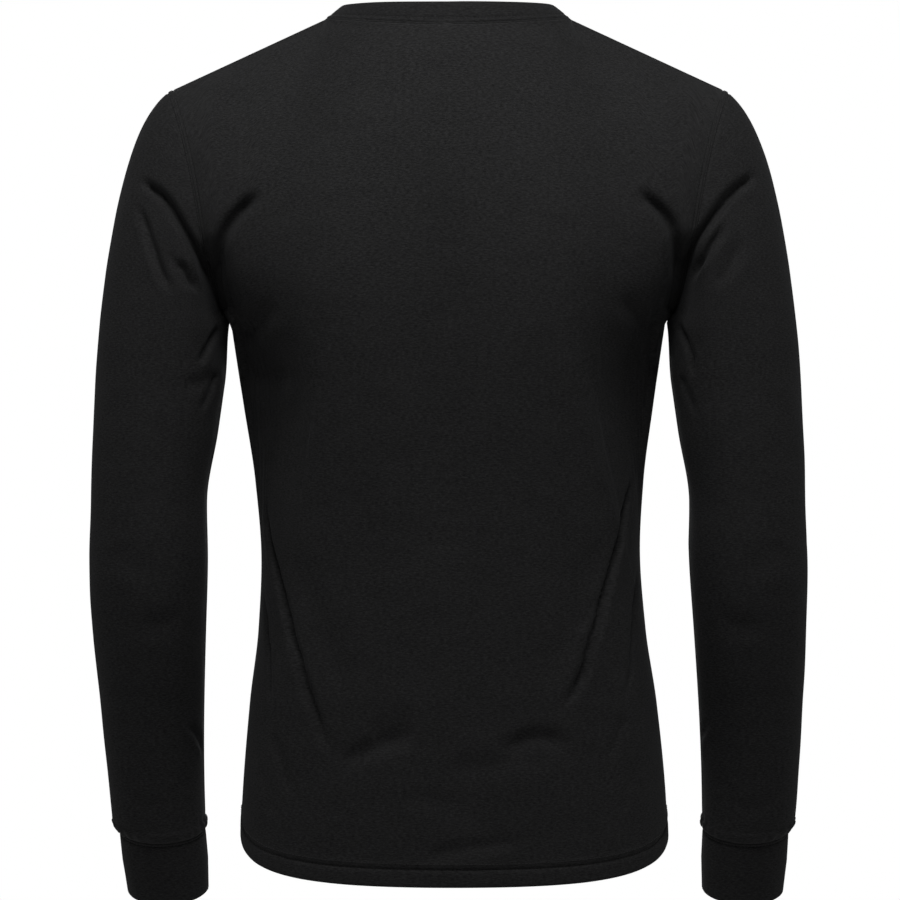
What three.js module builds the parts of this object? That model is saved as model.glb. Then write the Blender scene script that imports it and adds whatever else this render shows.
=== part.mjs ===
// A long-sleeved base layer top in fine jersey, filled out as by a standing wearer with both arms down.
//
// Millimetres, +Z up. The wearer faces -Y and has their left arm at +X. The origin lies on the shoulders,
// midway between the neck ends of the two shoulder seams, where the wearer carries the top.
//
// Sewn pieces: back, front, two sleeves, neckband and two cuffs. Each is a grid of points on its outer face
// with a wall inwards. Pieces that are sewn together have their seam points in common, so the walls meet
// there at one mitred direction, and each edge is then drawn back by half the seam gap.
import * as THREE from "three";

// Driving dimensions
const jersey = 1.2; // one layer of cloth
const doubled = 2.2; // two layers: neckband, cuffs and turned hem
const seamGap = 0.36; // between the edges of two sewn pieces
const hemTurn = 18; // height of the turned hem
const hemStep = 2; // the height over which its second layer ends
const neckEnd = new THREE.Vector3(100, -6, -1); // neck end of the shoulder seam
const shoulderEnd = new THREE.Vector3(228, -8, -60); // sleeve end of the shoulder seam
const underarm = new THREE.Vector3(178, 0, -246); // where the side seam meets the sleeve
const squareness = 0.045; // how far a body section swells past an ellipse at its four corners
const flatness = [0, 0, 0, 0.005, 0.02, 0.045, 0.075, 0.09]; // how flat the back stays out to the blades

// Body sections under the arms: height, half width, and depth behind and in front of the side seams
const body = {
  height: [-700, -640, -560, -500, -440, -380, -320, -246],
  half: [175.5, 173, 166, 158, 154.6, 158.5, 167, 178],
  back: [108, 105, 102, 100.5, 100, 101, 103, 107.5],
  front: [113, 112, 109, 105, 103, 106, 112, 116],
};

// What differs between the two body panels. Hem and neck heights are on the centre line, and the neck curve
// says how level the neck seam runs past the neck end before it drops. The rises are the
// directions in which the cloth runs up at the top of the yoke: at the centre, half way and the shoulder end.
const panels = {
  back: {
    face: 1,
    hem: -698,
    hemRise: 35,
    neckDrop: 12,
    neckCurve: 1.6,
    neckDepth: 68,
    armholeDepth: 60,
    armholeScoop: 9.2,
    armholeBelly: 16.3,
    sweepDip: 26,
    rises: [
      new THREE.Vector3(0, -75, 125),
      new THREE.Vector3(0, -65, 45),
      new THREE.Vector3(0, -150, 12),
    ],
  },
  front: {
    face: -1,
    hem: -684,
    hemRise: 21,
    neckDrop: 87,
    neckCurve: 1.2,
    neckDepth: 72,
    armholeDepth: 57,
    armholeScoop: 15,
    armholeBelly: 16.3,
    sweepDip: 4,
    rises: [new THREE.Vector3(0, 45, 95), new THREE.Vector3(0, 55, 50), new THREE.Vector3(0, 145, 12)],
  },
};
const yokeDip = 46; // how far the yoke's lowest row lies below the underarm on the centre line
const yokeFullness = 1.3; // how upright the cloth stays before it curves over to the shoulder
const sweepBulge = 1.3; // how much faster the yoke widens near the centre line than at the shoulder

// Sleeve sections down the arm: height and place of the centre, half width and half depth
const sleeve = {
  height: [-300, -340, -395, -440, -500, -560, -620, -667],
  across: [235.5, 239.3, 244.5, 245, 245, 244.6, 243.2, 241.4],
  forward: [0, -2, -4, -3, 7, 25, 43, 57],
  half: [52.6, 50.8, 47.3, 48.4, 46.2, 43, 40.1, 38.4],
  deep: [56, 53.5, 50, 50, 47.5, 44, 41, 39],
};
const capTop = new THREE.Vector3(130, 0, -95); // how the sleeve leaves the armhole at the shoulder
const capSide = new THREE.Vector3(70, 16, -110); // at its back and front
const capUnder = new THREE.Vector3(10, 0, -44); // and under the arm
const cuff = { length: 56, top: 35.7, middle: 35.6, end: 33.8, inset: 2.4, lean: 3.5 };
const swing = { below: -430, left: 0, right: 0.041 }; // how the forearms stand out from the sections above

// The neckband from its seam to its folded edge: rise and inward lean, at the centre lines and at the sides
const band = { rise: 18.5, lean: 7.5, sideRise: 11, sideLean: 14 };

// Grid counts: columns from a centre line to the neck end and on to the shoulder end, and rows by region
const neckColumns = 6;
const shoulderColumns = 6;
const halfColumns = neckColumns + shoulderColumns;
const neckShare = neckColumns / halfColumns;
const skirtRows = 17;
const yokeRows = 9;
const capRows = 8;
const armRows = 12;
const armColumns = 2 * yokeRows;
const bandRows = 2;

// The largest folds, as soft troughs along lines across a panel: points across and up, half width and depth.
// Those at the waist run in to the small of the back, and those at the armholes fan from the underarm.
const folds = [
  { face: 1, line: [[150, -405], [138, -490], [120, -560], [98, -596]], reach: 15, depth: 6 },
  { face: 1, line: [[-150, -380], [-138, -470], [-118, -540], [-94, -568]], reach: 15, depth: 6 },
  { face: 1, line: [[84, -600], [52, -594], [28, -590]], reach: 17, depth: 4.5 },
  { face: 1, line: [[-96, -592], [-64, -588], [-40, -600]], reach: 17, depth: 4.5 },
  { face: 1, line: [[160, -152], [178, -180], [182, -222]], reach: 14, depth: 6 },
  { face: 1, line: [[-160, -152], [-178, -180], [-182, -222]], reach: 14, depth: 6 },
  { face: 1, line: [[166, -236], [138, -252], [110, -270]], reach: 26, depth: 5 },
  { face: 1, line: [[-166, -236], [-138, -252], [-110, -270]], reach: 26, depth: 5 },
  { face: -1, line: [[150, -410], [122, -470], [84, -512]], reach: 16, depth: 5 },
  { face: -1, line: [[-150, -400], [-124, -465], [-88, -502]], reach: 16, depth: 5 },
  { face: -1, line: [[150, -150], [168, -185], [176, -224]], reach: 14, depth: 6 },
  { face: -1, line: [[-150, -150], [-168, -185], [-176, -224]], reach: 14, depth: 6 },
];

const { PI, sin, cos, abs, hypot, min, max, exp, sqrt } = Math;
const zero = () => new THREE.Vector3();
const mix = (a, b, t) => a + (b - a) * t;
const clamp = THREE.MathUtils.clamp;
const ease = (t) => THREE.MathUtils.smoothstep(t, 0, 1);

// A smooth value between falling or rising stations: cubic, with slopes that never swing past a station.
function along(stations, values, at) {
  const last = stations.length - 1;
  const past = (i) => (stations[last] > stations[0] ? at > stations[i] : at < stations[i]);
  let i = 0;
  while (i < last - 1 && past(i + 1)) i++;
  const chord = (k) => (values[k + 1] - values[k]) / (stations[k + 1] - stations[k]);
  const slope = (k) => {
    if (k === 0 || k === last) return chord(max(k - 1, 0));
    const product = chord(k - 1) * chord(k);
    return product <= 0 ? 0 : (2 * product) / (chord(k - 1) + chord(k));
  };
  const span = stations[i + 1] - stations[i];
  const t = clamp((at - stations[i]) / span, 0, 1);
  const steps = values[i] * (1 + 2 * t) * (1 - t) ** 2 + values[i + 1] * t * t * (3 - 2 * t);
  return steps + span * t * (1 - t) * (slope(i) * (1 - t) - slope(i + 1) * t);
}

// A point at t on the curve that leaves a in the direction u and arrives at b in the direction w.
function bow(a, u, b, w, t) {
  return zero()
    .addScaledVector(a, (1 + 2 * t) * (1 - t) ** 2)
    .addScaledVector(u, t * (1 - t) ** 2)
    .addScaledVector(b, t * t * (3 - 2 * t))
    .addScaledVector(w, -t * t * (1 - t));
}

// A body section at one height: turn is 0 on the centre line and 1 at the side seam.
function sectionPoint(panel, turn, z) {
  const angle = (turn * PI) / 2;
  const flat = panel.face > 0 ? along(body.height, flatness, z) : 0;
  const swell =
    1 + squareness * sin(2 * angle) ** 2 + flat * sin(4 * angle) * sqrt(max(0, cos(angle)));
  const half = along(body.height, body.half, z) * swell;
  const depth = along(body.height, panel.face > 0 ? body.back : body.front, z) * swell;
  return new THREE.Vector3(half * sin(angle), panel.face * depth * cos(angle), z);
}

// The armhole seam: lift is 0 at the underarm and 1 at the shoulder end.
function armholePoint(panel, lift) {
  const angle = PI * (1 - lift);
  const high = (1 + cos(angle)) / 2;
  const point = underarm.clone().lerp(shoulderEnd, high);
  point.x += sin(angle) * (panel.armholeBelly * (1 - high) - panel.armholeScoop * sin(angle));
  point.y += panel.face * panel.armholeDepth * sin(angle) * (1 - 0.12 * cos(angle));
  return point;
}

// The top edge of a panel: round the neck to the neck end, then out along the shoulder seam.
function topPoint(panel, turn) {
  if (turn > neckShare) return neckEnd.clone().lerp(shoulderEnd, (turn - neckShare) / (1 - neckShare));
  const angle = ((turn / neckShare) * PI) / 2;
  return new THREE.Vector3(
    neckEnd.x * sin(angle),
    neckEnd.y + panel.face * panel.neckDepth * cos(angle),
    neckEnd.z - panel.neckDrop * max(0, cos(angle)) ** panel.neckCurve,
  );
}

// The line that the cloth is held to lower down: a smooth sweep from the middle of the neck to the shoulder
// end, with none of the corner at the neck end.
function sweepPoint(panel, turn) {
  const centre = topPoint(panel, 0);
  return new THREE.Vector3(
    shoulderEnd.x * turn * mix(sweepBulge, 1, turn),
    mix(shoulderEnd.y, centre.y, cos((turn * PI) / 2)),
    mix(centre.z, shoulderEnd.z, turn) - panel.sweepDip * sin(turn * PI),
  );
}

// The direction in which the cloth arrives at that line.
function sweepRise(panel, turn) {
  const [centre, middle, shoulder] = panel.rises;
  if (turn > 0.5) return middle.clone().lerp(shoulder, 2 * turn - 1);
  return centre.clone().lerp(middle, 2 * turn);
}

// The row where the yoke begins, which rises towards the underarm.
const yokeFoot = (turn) => underarm.z - yokeDip * (1 - turn ** 3);

// The yoke: each column stands up from its foot and curves over to the top edge, and the columns near the
// side are drawn over to the armhole seam.
function yokePoint(panel, turn, lift) {
  const column = (at) => {
    const z = yokeFoot(at);
    const foot = sectionPoint(panel, at, z);
    const head = sweepPoint(panel, at);
    const lean = foot.clone().sub(sectionPoint(panel, at, z - hemTurn)).divideScalar(hemTurn);
    const stand = lean.multiplyScalar(yokeFullness * (head.z - z));
    const point = bow(foot, stand, head, sweepRise(panel, at), lift);
    return point.addScaledVector(topPoint(panel, at).sub(head), lift ** 3);
  };
  return column(turn).addScaledVector(armholePoint(panel, lift).sub(column(1)), turn ** 1.6);
}

// Column i runs from the right side seam (-X) to the left one, row j from the hem to the top edge.
function panelPoint(panel, i, j) {
  const turn = (i - halfColumns) / halfColumns;
  const out = abs(turn);
  const hem = panel.hem + panel.hemRise * out ** 2.9;
  const turned = hem + hemTurn + hemStep;
  let point;
  if (j > skirtRows) point = yokePoint(panel, out, (j - skirtRows) / yokeRows);
  else if (j < 2) point = sectionPoint(panel, out, hem + j * hemTurn);
  else point = sectionPoint(panel, out, mix(turned, yokeFoot(out), (j - 2) / (skirtRows - 2)));
  if (turn < 0) point.x = -point.x;
  return point;
}

// How deep the folds of one face press in at a place on the body.
function foldDepth(face, x, z) {
  let deep = 0;
  for (const fold of folds.filter((each) => each.face === face)) {
    let nearest = Infinity;
    for (let i = 0; i + 1 < fold.line.length; i++) {
      const [ax, az] = fold.line[i];
      const [bx, bz] = fold.line[i + 1];
      const share = ((x - ax) * (bx - ax) + (z - az) * (bz - az)) / ((bx - ax) ** 2 + (bz - az) ** 2);
      const t = clamp(share, 0, 1);
      nearest = min(nearest, hypot(x - mix(ax, bx, t), z - mix(az, bz, t)));
    }
    deep += fold.depth * exp(-((nearest / fold.reach) ** 2));
  }
  return deep;
}

// A sleeve section at one height, square to the arm: angle is 0 outside, a quarter turn behind.
function armPoint(angle, z, swingOut) {
  const forward = (height) => along(sleeve.height, sleeve.forward, height);
  const slope = (forward(z - 10) - forward(z + 10)) / 20;
  const deep = along(sleeve.height, sleeve.deep, z) * sin(angle);
  const across = along(sleeve.height, sleeve.across, z) + swingOut * max(0, swing.below - z);
  return new THREE.Vector3(
    across + along(sleeve.height, sleeve.half, z) * cos(angle),
    deep / hypot(1, slope) - forward(z),
    z - (deep * slope) / hypot(1, slope),
  );
}

// The cuff: share is 0 at its seam, where the sleeve is drawn in, and 1 at its open end.
function cuffPoint(angle, share, swingOut) {
  const z = sleeve.height.at(-1) - cuff.inset;
  const drop = sleeve.height.at(-2) - sleeve.height.at(-1);
  const slope = (sleeve.forward.at(-1) - sleeve.forward.at(-2)) / drop;
  const [sine, cosine] = [slope / hypot(1, slope), 1 / hypot(1, slope)];
  const radius =
    share < 0.5 ? mix(cuff.top, cuff.middle, 2 * share) : mix(cuff.middle, cuff.end, 2 * share - 1);
  const down = cuff.length * share;
  const deep = radius * sin(angle);
  const out = sleeve.across.at(-1) - cuff.inset - cuff.lean * share + swingOut * (swing.below - z + down);
  return new THREE.Vector3(
    out + radius * cos(angle),
    deep * cosine - sleeve.forward.at(-1) - down * sine,
    z - deep * sine - down * cosine,
  );
}

// Column i runs round the arm from the top by the back, row j from the armhole to the cuff seam.
function sleevePoint(i, j, swingOut) {
  const angle = (2 * PI * i) / armColumns;
  const lastRow = capRows + armRows;
  if (j === lastRow) return cuffPoint(angle, 0, swingOut);
  const top = sleeve.height[0];
  if (j > capRows) {
    const end = sleeve.height.at(-1) + 1;
    return armPoint(angle, mix(top, end, (j - capRows) / (lastRow - 1 - capRows)), swingOut);
  }
  const panel = i <= yokeRows ? panels.back : panels.front;
  const high = (1 + cos(angle)) / 2;
  const start = armholePoint(panel, abs(1 - i / yokeRows));
  const leave =
    high > 0.5 ? capSide.clone().lerp(capTop, 2 * high - 1) : capUnder.clone().lerp(capSide, 2 * high);
  leave.y = capSide.y * sin(angle);
  const end = armPoint(angle, top, swingOut);
  const arrive = end.clone().sub(armPoint(angle, top - 10, swingOut));
  arrive.multiplyScalar(-(start.z - top) / 10);
  return bow(start, leave, end, arrive, j / capRows);
}

// The neckband runs round from the back centre line by the left, row j from the seam to the folded edge.
function bandPoint(i, j) {
  const quarter = i / neckColumns;
  const panel = quarter <= 1 || quarter >= 3 ? panels.back : panels.front;
  const turn = abs(((quarter + 1) % 2) - 1) * neckShare;
  const side = sin((turn / neckShare) * (PI / 2));
  const share = j / bandRows;
  const point = topPoint(panel, turn);
  point.x -= band.sideLean * side * share;
  point.y -= panel.face * band.lean * (1 - side) * share;
  point.z += mix(band.rise, band.sideRise, side ** 2) * share;
  if (quarter > 2) point.x = -point.x;
  return point;
}

// A piece's grid: its points and the directions out of the cloth. A closed grid runs round, column to column.
// sewn names the edges that meet another piece, and group the wall that the piece belongs to.
function makeGrid({ name, group, columns, rows, closed = false, outward, sewn, point, wall }) {
  const wide = closed ? columns : columns + 1;
  const index = (i, j) => j * wide + (closed ? (i + columns) % columns : clamp(i, 0, columns));
  const points = [];
  for (let j = 0; j <= rows; j++) for (let i = 0; i < wide; i++) points.push(point(i, j));
  const at = (i, j) => points[index(i, clamp(j, 0, rows))];
  const normals = points.map((_, k) => {
    const i = k % wide;
    const j = (k - i) / wide;
    const across = at(i + 1, j).clone().sub(at(i - 1, j));
    const up = at(i, j + 1).clone().sub(at(i, j - 1));
    return across.cross(up).multiplyScalar(outward).normalize();
  });
  const walls = points.map((_, k) => wall(Math.floor(k / wide)));
  return { name, group, columns, rows, closed, outward, sewn, wide, index, points, normals, walls };
}

// The points along one edge of a grid, each with the next point inside.
function edgeOf(grid, side) {
  const { columns, rows, index } = grid;
  const list = [];
  if (side === "bottom") for (let i = 0; i < grid.wide; i++) list.push([index(i, 0), index(i, 1)]);
  if (side === "top") for (let i = 0; i < grid.wide; i++) list.push([index(i, rows), index(i, rows - 1)]);
  if (side === "first") for (let j = 0; j <= rows; j++) list.push([index(0, j), index(1, j)]);
  if (side === "last")
    for (let j = 0; j <= rows; j++) list.push([index(columns, j), index(columns - 1, j)]);
  return list;
}

// Presses the folds into a body panel, fading out towards its edges.
function pressFolds(grid, face) {
  grid.points.forEach((point, k) => {
    const i = k % grid.wide;
    const j = (k - i) / grid.wide;
    const inside = min(i, grid.columns - i, j, grid.rows - j) / 2;
    point.addScaledVector(grid.normals[k], -ease(inside) * foldDepth(face, point.x, point.z));
  });
}

// Gives the points that several grids share one mitred direction, with a wall as thick across the cloth as
// it was, and draws each sewn edge back by half the gap.
function sewTogether(grids) {
  const key = (point) => point.toArray().map((value) => Math.round(value * 100)).join();
  const meetings = new Map();
  for (const grid of grids)
    for (const side of grid.sewn)
      for (const [k] of edgeOf(grid, side)) {
        const here = meetings.get(key(grid.points[k])) ?? new Map();
        const normal = here.get(grid.group) ?? zero();
        here.set(grid.group, normal.add(grid.normals[k]));
        meetings.set(key(grid.points[k]), here);
      }
  const shifts = new Map();
  for (const grid of grids) {
    const shift = grid.points.map(zero);
    const seams = new Map();
    for (const side of grid.sewn) {
      const edge = edgeOf(grid, side);
      const ring = grid.closed && edge.length === grid.columns;
      edge.forEach(([k, inside], n) => {
        const here = meetings.get(key(grid.points[k]));
        const own = here.get(grid.group).clone().normalize();
        const shared = zero();
        for (const normal of here.values()) shared.add(normal.clone().normalize());
        shared.normalize();
        const held = (m) => (ring ? (m + edge.length) % edge.length : clamp(m, 0, edge.length - 1));
        const step = (m) => edge[held(m)][0];
        const run = grid.points[step(n + 1)].clone().sub(grid.points[step(n - 1)]);
        const across = run.cross(shared).normalize();
        const inwards = grid.points[inside].clone().sub(grid.points[k]);
        shift[k].addScaledVector(across, (Math.sign(across.dot(inwards)) * seamGap) / 2);
        seams.set(k, { shared, stretch: 1 / max(shared.dot(own), 0.4) });
      });
    }
    shifts.set(grid, { shift, seams });
  }
  for (const [grid, { shift, seams }] of shifts) {
    for (const [k, { shared, stretch }] of seams) {
      grid.normals[k] = shared;
      grid.walls[k] *= stretch;
    }
    grid.points.forEach((point, k) => point.add(shift[k]));
  }
}

// Closes a grid into a solid: outer face, inner face and the rims between them.
function closeWall(grid, material) {
  const { columns, rows, closed, outward, wide, index, points } = grid;
  const inner = points.map((point, k) => point.clone().addScaledVector(grid.normals[k], -grid.walls[k]));
  const vertices = [...points, ...inner];
  const faces = [];
  const quad = (a, b, c, d) => {
    const short = vertices[a].distanceTo(vertices[c]) <= vertices[b].distanceTo(vertices[d]);
    faces.push(...(short ? [a, b, c, a, c, d] : [a, b, d, b, c, d]));
  };
  const turn = (a, b, c, d) => (outward > 0 ? quad(a, b, c, d) : quad(d, c, b, a));
  const deep = points.length;
  for (let j = 0; j < rows; j++)
    for (let i = 0; i < columns; i++) {
      const [a, b, c, d] = [index(i, j), index(i + 1, j), index(i + 1, j + 1), index(i, j + 1)];
      turn(a, b, c, d);
      turn(deep + d, deep + c, deep + b, deep + a);
    }
  for (let i = 0; i < columns; i++) {
    const [a, b] = [index(i, 0), index(i + 1, 0)];
    turn(deep + a, deep + b, b, a);
    const [c, d] = [index(i, rows), index(i + 1, rows)];
    turn(c, d, deep + d, deep + c);
  }
  for (let j = 0; j < rows && !closed; j++) {
    const [a, b] = [index(0, j), index(0, j + 1)];
    turn(deep + a, a, b, deep + b);
    const [c, d] = [index(columns, j), index(columns, j + 1)];
    turn(c, deep + c, deep + d, d);
  }
  const geometry = new THREE.BufferGeometry();
  const places = vertices.flatMap((vertex) => vertex.toArray());
  geometry.setAttribute("position", new THREE.Float32BufferAttribute(places, 3));
  geometry.setIndex(faces);
  geometry.computeVertexNormals();
  const mesh = new THREE.Mesh(geometry, material);
  mesh.name = grid.name;
  return mesh;
}

const bodyGrid = (name, panel) => {
  const grid = makeGrid({
    name,
    group: "body",
    columns: 2 * halfColumns,
    rows: skirtRows + yokeRows,
    outward: -panel.face,
    sewn: ["first", "last", "top"],
    point: (i, j) => panelPoint(panel, i, j),
    wall: (j) => (j < 2 ? doubled : jersey),
  });
  pressFolds(grid, panel.face);
  return grid;
};

// Sleeves and cuffs are worked out for the left arm and mirrored for the right.
const armSide = (side) => (side === "left" ? 1 : -1);
const mirrored = (point, side) => point.setX(point.x * armSide(side));

const sleeveGrid = (side) =>
  makeGrid({
    name: `sleeve_${side}`,
    group: "sleeve",
    columns: armColumns,
    rows: capRows + armRows,
    closed: true,
    outward: -armSide(side),
    sewn: ["bottom", "top"],
    point: (i, j) => mirrored(sleevePoint(i, j, swing[side]), side),
    wall: () => jersey,
  });

const cuffGrid = (side) =>
  makeGrid({
    name: `cuff_${side}`,
    group: "cuff",
    columns: armColumns,
    rows: bandRows,
    closed: true,
    outward: -armSide(side),
    sewn: ["bottom"],
    point: (i, j) => mirrored(cuffPoint((2 * PI * i) / armColumns, j / bandRows, swing[side]), side),
    wall: () => doubled,
  });

const bandGrid = () =>
  makeGrid({
    name: "neckband",
    group: "band",
    columns: 4 * neckColumns,
    rows: bandRows,
    closed: true,
    outward: -1,
    sewn: ["bottom"],
    point: bandPoint,
    wall: () => doubled,
  });

const grids = [
  bodyGrid("back", panels.back),
  bodyGrid("front", panels.front),
  sleeveGrid("left"),
  sleeveGrid("right"),
  cuffGrid("left"),
  cuffGrid("right"),
  bandGrid(),
];
sewTogether(grids);

const charcoal = new THREE.MeshStandardMaterial({ color: 0x2a2b2e, roughness: 0.85, metalness: 0 });
const charcoalBand = new THREE.MeshStandardMaterial({ color: 0x27282b, roughness: 0.82, metalness: 0 });
const isBand = (name) => name === "neckband" || name.startsWith("cuff");

const group = new THREE.Group();
for (const grid of grids) group.add(closeWall(grid, isBand(grid.name) ? charcoalBand : charcoal));

export default group;
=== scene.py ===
import math

import bpy
import numpy as np
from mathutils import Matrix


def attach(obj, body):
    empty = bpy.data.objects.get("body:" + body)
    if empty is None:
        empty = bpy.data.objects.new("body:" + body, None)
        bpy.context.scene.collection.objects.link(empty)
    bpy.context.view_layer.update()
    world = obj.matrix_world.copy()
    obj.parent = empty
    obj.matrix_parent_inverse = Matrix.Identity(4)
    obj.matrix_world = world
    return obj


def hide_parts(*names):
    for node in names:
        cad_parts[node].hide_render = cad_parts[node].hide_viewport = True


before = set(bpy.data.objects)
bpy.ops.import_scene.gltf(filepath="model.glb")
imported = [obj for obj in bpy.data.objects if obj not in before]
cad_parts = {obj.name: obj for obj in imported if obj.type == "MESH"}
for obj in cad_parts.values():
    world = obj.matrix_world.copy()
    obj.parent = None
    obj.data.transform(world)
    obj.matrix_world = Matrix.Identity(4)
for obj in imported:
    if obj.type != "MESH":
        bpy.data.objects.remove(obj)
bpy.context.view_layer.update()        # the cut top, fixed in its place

# The wearer faces -Y with the left arm at +X. Shapes are worked out in millimetres and turned to metres
# when a mesh is made.
mm = 0.001
pi = math.pi


# ---- small helpers for smooth shapes

def mix(a, b, t):
    return a + (b - a) * t


def ease(t):
    t = np.clip(t, 0, 1)
    return t * t * (3 - 2 * t)


def vec(x, y, z):
    return np.stack(np.broadcast_arrays(np.asarray(x, float), y, z), axis=-1)


def unit(v):
    return v / np.maximum(np.linalg.norm(v, axis=-1, keepdims=True), 1e-9)


def along(stations, values, at):
    # a smooth value between stations that never swings past one
    x, y = np.array(stations, float), np.array(values, float)
    if x[0] > x[-1]:
        x, y = x[::-1], y[::-1]
    chord = np.diff(y) / np.diff(x)
    product = chord[:-1] * chord[1:]
    total = np.where(product > 0, chord[:-1] + chord[1:], 1)
    slope = np.concatenate([chord[:1], np.where(product > 0, 2 * product / total, 0), chord[-1:]])
    i = np.clip(np.searchsorted(x, at) - 1, 0, len(x) - 2)
    span = x[i + 1] - x[i]
    t = np.clip((at - x[i]) / span, 0, 1)
    level = y[i] * (1 + 2 * t) * (1 - t) ** 2 + y[i + 1] * t * t * (3 - 2 * t)
    return level + span * t * (1 - t) * (slope[i] * (1 - t) - slope[i + 1] * t)


def bow(a, u, b, w, t):
    # the curve that leaves a in the direction u and arrives at b in the direction w
    t = np.asarray(t)[..., None]
    fromStart = a * (1 + 2 * t) * (1 - t) ** 2 + u * t * (1 - t) ** 2
    return fromStart + b * t * t * (3 - 2 * t) - w * t * t * (1 - t)


def spread(count, length, start=True, end=True, fine=(0.7, 1.4, 2.1, 2.6, 3.1, 3.9, 5.2)):
    # shares of a length, with closer lines beside each sewn end
    lines = set(np.round(np.linspace(0, 1, count + 1), 6))
    close = [f / length for f in fine]
    reach = close[-1] * 1.15
    if start:
        lines = {v for v in lines if v > reach or v == 0} | {round(c, 6) for c in close}
    if end:
        lines = {v for v in lines if v < 1 - reach or v == 1} | {round(1 - c, 6) for c in close}
    return np.array(sorted(lines))


def lengths(points, axis):
    # how far each point is along its row or column, from the first
    step = np.linalg.norm(np.diff(points, axis=axis), axis=-1)
    start = np.zeros_like(np.take(step, [0], axis=axis))
    return np.concatenate([start, np.cumsum(step, axis=axis)], axis=axis)


def outNormals(points, outward):
    return unit(np.cross(np.gradient(points, axis=1), np.gradient(points, axis=0))) * outward


class Waves:
    # smooth bumps of one size over a cloth, the same every time
    def __init__(self, seed):
        self.values = np.random.default_rng(seed).uniform(-1, 1, (64, 64))

    def at(self, u, v):
        i, j = np.floor(u).astype(int), np.floor(v).astype(int)
        s, t = ease(u - i), ease(v - j)
        pick = lambda a, b: self.values[a % 64, b % 64]
        low = mix(pick(i, j), pick(i + 1, j), s)
        return mix(low, mix(pick(i, j + 1), pick(i + 1, j + 1), s), t)


# ---- the cut of the top

top = {
    "neckEnd": np.array([100, -6, -1.0]),       # neck end of the shoulder seam
    "shoulderEnd": np.array([228, -8, -60.0]),  # sleeve end of the shoulder seam
    "underarm": np.array([178, 0, -246.0]),     # where the side seam meets the sleeve
    "squareness": 0.045,
    "flatness": [0, 0, 0, 0.005, 0.02, 0.045, 0.075, 0.09],  # how flat the back stays out to the blades
    "jersey": 1.0,      # one layer of cloth
    "doubled": 2.0,     # folded bands and turned hem
    "heights": [-700, -640, -560, -500, -440, -380, -320, -246],
    "half": [175.5, 173, 166, 158, 154.6, 158.5, 167, 178],
    "behind": [108, 105, 102, 100.5, 100, 101, 103, 107.5],
    "before": [113, 112, 109, 105, 103, 106, 112, 116],
    "yokeDip": 46,
    "yokeFullness": 1.3,
    "sweepBulge": 1.3,
    "leanStep": 18,
    "hemCorner": 2.9,   # how sharply the hem rises to the side seams
    "hang": -5.0,       # how far the hem hangs to one side of the neck
}

backPanel = {
    "face": 1, "depths": "behind", "hem": -698, "hemRise": 35,
    "neckDrop": 12, "neckCurve": 1.6, "neckDepth": 68,
    "armholeDepth": 60, "armholeScoop": 9.2, "armholeBelly": 16.3, "sweepDip": 26,
    "rises": np.array([[0, -75, 125], [0, -65, 45], [0, -150, 12.0]]),
}

frontPanel = {
    "face": -1, "depths": "before", "hem": -684, "hemRise": 21,
    "neckDrop": 87, "neckCurve": 1.2, "neckDepth": 72,
    "armholeDepth": 57, "armholeScoop": 15, "armholeBelly": 16.3, "sweepDip": 4,
    "rises": np.array([[0, 45, 95], [0, 55, 50], [0, 145, 12.0]]),
}


def section(panel, turn, z):
    # a body section: turn is 0 on the centre line and 1 at the side seam
    angle = turn * pi / 2
    flat = along(top["heights"], top["flatness"], z) * (panel["face"] > 0)
    swell = 1 + top["squareness"] * np.sin(2 * angle) ** 2
    swell = swell + flat * np.sin(4 * angle) * np.sqrt(np.clip(np.cos(angle), 0, 1))
    half = along(top["heights"], top["half"], z) * swell
    depth = along(top["heights"], top[panel["depths"]], z) * swell
    return vec(half * np.sin(angle), panel["face"] * depth * np.cos(angle), z)


def armhole(panel, lift):
    # lift is 0 under the arm and 1 at the shoulder end
    angle = pi * (1 - np.asarray(lift, float))
    high = (1 + np.cos(angle)) / 2
    point = mix(top["underarm"], top["shoulderEnd"], high[..., None])
    belly = panel["armholeBelly"] * (1 - high) - panel["armholeScoop"] * np.sin(angle)
    depth = panel["face"] * panel["armholeDepth"] * (1 - 0.12 * np.cos(angle))
    return point + vec(np.sin(angle) * belly, np.sin(angle) * depth, 0)


def topEdge(panel, turn):
    # round the neck to the neck end, then out along the shoulder seam
    turn = np.asarray(turn, float)
    angle = np.clip(turn, 0, 0.5) * pi
    cosine = np.clip(np.cos(angle), 0, 1)
    neck = top["neckEnd"] + vec(
        top["neckEnd"][0] * (np.sin(angle) - 1),
        panel["face"] * panel["neckDepth"] * cosine,
        -panel["neckDrop"] * cosine ** panel["neckCurve"],
    )
    shoulder = mix(top["neckEnd"], top["shoulderEnd"], (2 * turn - 1)[..., None])
    return np.where((turn > 0.5)[..., None], shoulder, neck)


def sweep(panel, turn):
    # the smooth line that the cloth is held to below the corner at the neck end
    centre = topEdge(panel, 0.0)
    end = top["shoulderEnd"]
    return vec(
        end[0] * turn * mix(top["sweepBulge"], 1, turn),
        mix(end[1], centre[1], np.cos(turn * pi / 2)),
        mix(centre[2], end[2], turn) - panel["sweepDip"] * np.sin(turn * pi),
    )


def sweepRise(panel, turn):
    centre, middle, shoulder = panel["rises"]
    turn = turn[..., None]
    return np.where(turn > 0.5, mix(middle, shoulder, 2 * turn - 1), mix(centre, middle, 2 * turn))


def yokeFoot(turn):
    return top["underarm"][2] - top["yokeDip"] * (1 - turn ** 3)


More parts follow.
